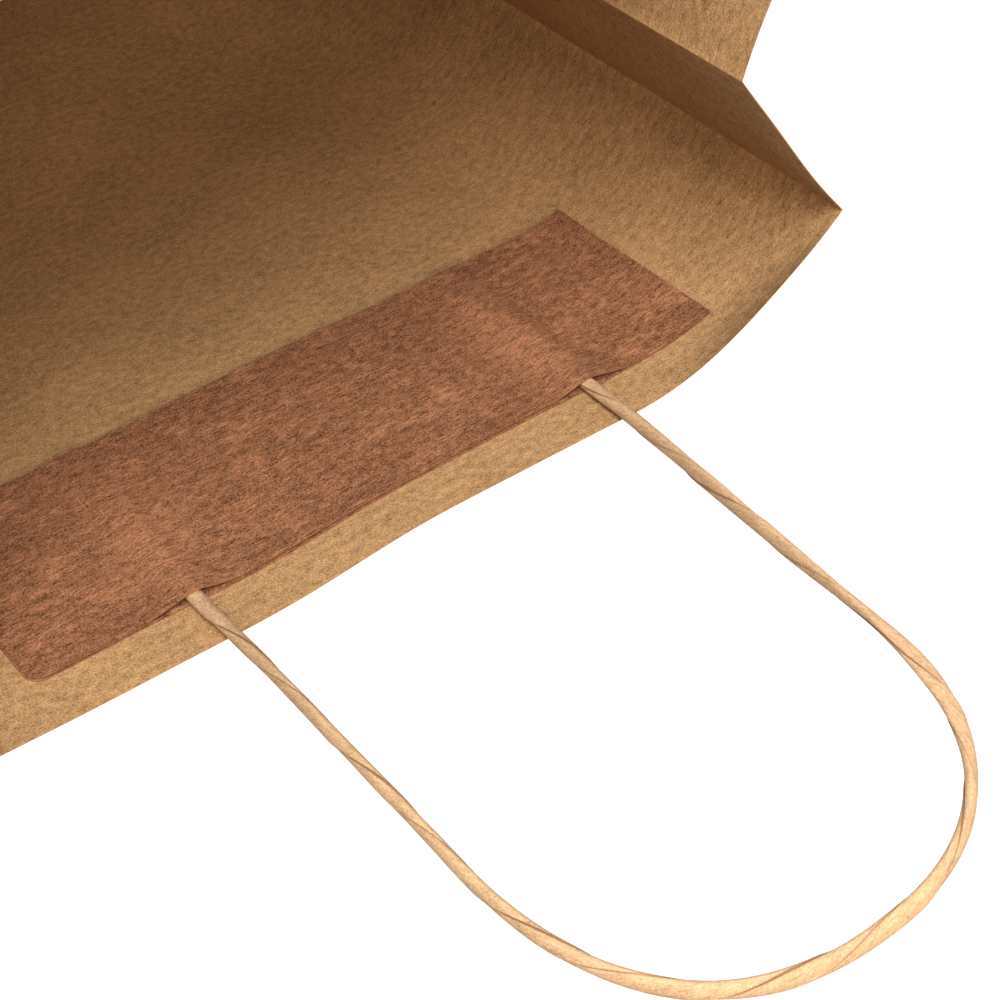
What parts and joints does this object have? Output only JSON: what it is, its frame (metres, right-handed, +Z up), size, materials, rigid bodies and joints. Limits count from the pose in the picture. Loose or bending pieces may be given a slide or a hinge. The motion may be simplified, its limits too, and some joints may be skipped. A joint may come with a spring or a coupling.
{
  "type": "paper gift bag",
  "caption": "Open kraft paper gift bag with side gussets, a folded flat bottom and twisted-paper loop handles held by glued inner patches.",
  "frame": {"origin": "on the surface the bag stands on, under the middle of the base", "axes": "+Z up; X across the wide panels, +Y from the front panel to the rear panel"},
  "size_m": [0.22, 0.185, 0.4264],
  "materials": {
    "kraft_paper": "uncoated brown kraft with fine flecks",
    "patch_paper": "rough recycled kraft, reddish brown, fibres in streaks",
    "handle_cord": "twisted kraft strip with spiral seams"
  },
  "bodies": {
    "bag": {"front_panel": "kraft_paper", "gusset_left_front_half": "kraft_paper", "gusset_left_rear_half": "kraft_paper", "gusset_right_front_half": "kraft_paper", "gusset_right_rear_half": "kraft_paper", "bottom_flap_front": "kraft_paper", "bottom_flap_rear": "kraft_paper", "bottom_tuck_left": "kraft_paper", "bottom_tuck_right": "kraft_paper", "front_patch_backing": "patch_paper", "front_patch_cover": "patch_paper", "front_cord_end_left": "handle_cord", "front_cord_end_right": "handle_cord"},
    "rear_wall": {"rear_panel": "kraft_paper", "seam_flap": "kraft_paper", "rear_patch_backing": "patch_paper", "rear_patch_cover": "patch_paper", "rear_cord_end_left": "handle_cord", "rear_cord_end_right": "handle_cord"},
    "front_handle": {"front_handle_loop": "handle_cord"},
    "rear_handle": {"rear_handle_loop": "handle_cord"}
  },
  "joints": [
    {"name": "rear_wall_flex", "type": "hinge", "parent": "bag", "child": "rear_wall", "pos_m": [0, 0.0522, 0.0006], "axis": [1, 0, 0], "range_deg": [-3, 5], "stiffness_Nm_per_rad": 1.2, "deforming": ["gusset_left_front_half", "gusset_left_rear_half", "gusset_right_front_half", "gusset_right_rear_half"]},
    {"name": "front_handle_swing", "type": "hinge", "parent": "bag", "child": "front_handle", "pos_m": [0, -0.06195, 0.313], "axis": [1, 0, 0], "range_deg": [-20, 85]},
    {"name": "rear_handle_swing", "type": "hinge", "parent": "rear_wall", "child": "rear_handle", "pos_m": [0, 0.06195, 0.313], "axis": [-1, 0, 0], "range_deg": [-50, 55]}
  ]
}
